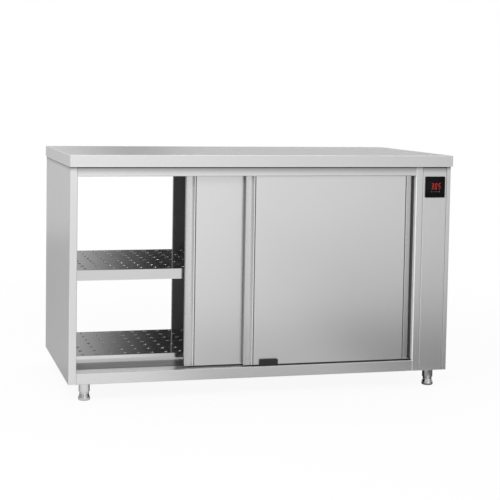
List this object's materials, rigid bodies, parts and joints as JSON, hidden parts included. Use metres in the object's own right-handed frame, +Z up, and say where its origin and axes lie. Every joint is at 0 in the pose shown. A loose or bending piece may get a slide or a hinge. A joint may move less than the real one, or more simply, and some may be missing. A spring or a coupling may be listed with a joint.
{
  "type": "plate warmer cabinet",
  "caption": "Stainless pass-through warming cabinet with top-hung sliding doors front and rear, perforated shelves, a fan heater column with a digital controller and levelling feet.",
  "frame": {"origin": "on the floor under the middle of the worktop", "axes": "+Z up, +X to the right and along the cabinet's length, -Y towards the front with the control panel"},
  "size_m": [1.4, 0.7, 0.85],
  "materials": {
    "worktop_steel": "fine grain along the length, polished edges",
    "body_steel": "fine brushed grain",
    "door_steel": "fine brushed grain",
    "inner_steel": "plain mill finish",
    "shelf_steel": "bright annealed, perforated",
    "foot_chrome": "mirror polished",
    "screw_steel": "plated",
    "heater_steel": "dull, heat tinted",
    "black_plastic": "fine moulded texture",
    "grey_plastic": "moulded",
    "controller_glass": "black glass-like lens over a red digital display",
    "roller_nylon": "turned nylon",
    "motor_paint": "satin black paint"
  },
  "bodies": {
    "cabinet": {"worktop": "worktop_steel", "worktop_stiffeners": "inner_steel", "left_side_panel": "body_steel", "right_side_panel": "body_steel", "left_liner": "inner_steel", "partition": "inner_steel", "base_pan": "inner_steel", "floor_panel": "inner_steel", "ceiling_panel": "inner_steel", "front_top_rail": "body_steel", "rear_top_rail": "body_steel", "front_bottom_rail": "body_steel", "rear_bottom_rail": "body_steel", "front_inner_post": "body_steel", "rear_inner_post": "body_steel", "control_panel": "body_steel", "service_panel": "body_steel", "controller_case": "black_plastic", "controller_glass": "controller_glass", "shelf_brackets": "inner_steel", "mid_shelf": "shelf_steel", "bottom_shelf": "shelf_steel", "front_track": "inner_steel", "rear_track": "inner_steel", "front_guide_block": "black_plastic", "rear_guide_block": "black_plastic", "foot_sleeves": "foot_chrome", "heater_duct": "inner_steel", "heating_element": "heater_steel", "fan_motor": "motor_paint", "terminal_box": "grey_plastic", "temperature_probe": "heater_steel", "cable_gland": "black_plastic", "fasteners": "screw_steel"},
    "front_left_door": {"front_left_door_skin": "door_steel", "front_left_door_liner": "inner_steel", "front_left_hangers": "inner_steel"},
    "front_left_roller_1": {"front_left_roller_1": "roller_nylon"},
    "front_left_roller_2": {"front_left_roller_2": "roller_nylon"},
    "front_right_door": {"front_right_door_skin": "door_steel", "front_right_door_liner": "inner_steel", "front_right_hangers": "inner_steel"},
    "front_right_roller_1": {"front_right_roller_1": "roller_nylon"},
    "front_right_roller_2": {"front_right_roller_2": "roller_nylon"},
    "rear_left_door": {"rear_left_door_skin": "door_steel", "rear_left_door_liner": "inner_steel", "rear_left_hangers": "inner_steel"},
    "rear_left_roller_1": {"rear_left_roller_1": "roller_nylon"},
    "rear_left_roller_2": {"rear_left_roller_2": "roller_nylon"},
    "rear_right_door": {"rear_right_door_skin": "door_steel", "rear_right_door_liner": "inner_steel", "rear_right_hangers": "inner_steel"},
    "rear_right_roller_1": {"rear_right_roller_1": "roller_nylon"},
    "rear_right_roller_2": {"rear_right_roller_2": "roller_nylon"},
    "front_left_leveller": {"front_left_foot": "foot_chrome"},
    "front_right_leveller": {"front_right_foot": "foot_chrome"},
    "rear_left_leveller": {"rear_left_foot": "foot_chrome"},
    "rear_right_leveller": {"rear_right_foot": "foot_chrome"},
    "fan": {"fan_impeller": "inner_steel"}
  },
  "joints": [
    {"name": "front_left_door_slide", "type": "slide", "parent": "cabinet", "child": "front_left_door", "axis": [1, 0, 0], "range_m": [-0.384, 0.21]},
    {"name": "front_left_roller_1_spin", "type": "hinge", "parent": "front_left_door", "child": "front_left_roller_1", "pos_m": [-0.2255, -0.2969, 0.7988], "axis": [0, 1, 0], "range_deg": [-2020, 1110]},
    {"name": "front_left_roller_2_spin", "type": "hinge", "parent": "front_left_door", "child": "front_left_roller_2", "pos_m": [0.2925, -0.2969, 0.7988], "axis": [0, 1, 0], "range_deg": [-2020, 1110]},
    {"name": "front_right_door_slide", "type": "slide", "parent": "cabinet", "child": "front_right_door", "axis": [1, 0, 0], "range_m": [-0.594, 0]},
    {"name": "front_right_roller_1_spin", "type": "hinge", "parent": "front_right_door", "child": "front_right_roller_1", "pos_m": [-0.0155, -0.3209, 0.7988], "axis": [0, 1, 0], "range_deg": [-3110, 20]},
    {"name": "front_right_roller_2_spin", "type": "hinge", "parent": "front_right_door", "child": "front_right_roller_2", "pos_m": [0.5025, -0.3209, 0.7988], "axis": [0, 1, 0], "range_deg": [-3110, 20]},
    {"name": "rear_left_door_slide", "type": "slide", "parent": "cabinet", "child": "rear_left_door", "axis": [1, 0, 0], "range_m": [-0.469, 0.125]},
    {"name": "rear_left_roller_1_spin", "type": "hinge", "parent": "rear_left_door", "child": "rear_left_roller_1", "pos_m": [-0.1405, 0.2969, 0.7988], "axis": [0, 1, 0], "range_deg": [-2460, 670]},
    {"name": "rear_left_roller_2_spin", "type": "hinge", "parent": "rear_left_door", "child": "rear_left_roller_2", "pos_m": [0.3775, 0.2969, 0.7988], "axis": [0, 1, 0], "range_deg": [-2460, 670]},
    {"name": "rear_right_door_slide", "type": "slide", "parent": "cabinet", "child": "rear_right_door", "axis": [1, 0, 0], "range_m": [-0.594, 0]},
    {"name": "rear_right_roller_1_spin", "type": "hinge", "parent": "rear_right_door", "child": "rear_right_roller_1", "pos_m": [-0.0155, 0.3209, 0.7988], "axis": [0, 1, 0], "range_deg": [-3110, 20]},
    {"name": "rear_right_roller_2_spin", "type": "hinge", "parent": "rear_right_door", "child": "rear_right_roller_2", "pos_m": [0.5025, 0.3209, 0.7988], "axis": [0, 1, 0], "range_deg": [-3110, 20]},
    {"name": "front_left_foot_screw", "type": "slide", "parent": "cabinet", "child": "front_left_leveller", "axis": [0, 0, -1], "range_m": [0, 0.02]},
    {"name": "front_right_foot_screw", "type": "slide", "parent": "cabinet", "child": "front_right_leveller", "axis": [0, 0, -1], "range_m": [0, 0.02]},
    {"name": "rear_left_foot_screw", "type": "slide", "parent": "cabinet", "child": "rear_left_leveller", "axis": [0, 0, -1], "range_m": [0, 0.02]},
    {"name": "rear_right_foot_screw", "type": "slide", "parent": "cabinet", "child": "rear_right_leveller", "axis": [0, 0, -1], "range_m": [0, 0.02]},
    {"name": "fan_spin", "type": "hinge", "parent": "cabinet", "child": "fan", "pos_m": [0.6, 0, 0.69], "axis": [1, 0, 0], "continuous": true}
  ],
  "couplings": [
    {"joint": "front_left_roller_1_spin", "follows": "front_left_door_slide", "rad_per_m": 90.909},
    {"joint": "front_left_roller_2_spin", "follows": "front_left_door_slide", "rad_per_m": 90.909},
    {"joint": "front_right_roller_1_spin", "follows": "front_right_door_slide", "rad_per_m": 90.909},
    {"joint": "front_right_roller_2_spin", "follows": "front_right_door_slide", "rad_per_m": 90.909},
    {"joint": "rear_left_roller_1_spin", "follows": "rear_left_door_slide", "rad_per_m": 90.909},
    {"joint": "rear_left_roller_2_spin", "follows": "rear_left_door_slide", "rad_per_m": 90.909},
    {"joint": "rear_right_roller_1_spin", "follows": "rear_right_door_slide", "rad_per_m": 90.909},
    {"joint": "rear_right_roller_2_spin", "follows": "rear_right_door_slide", "rad_per_m": 90.909}
  ]
}
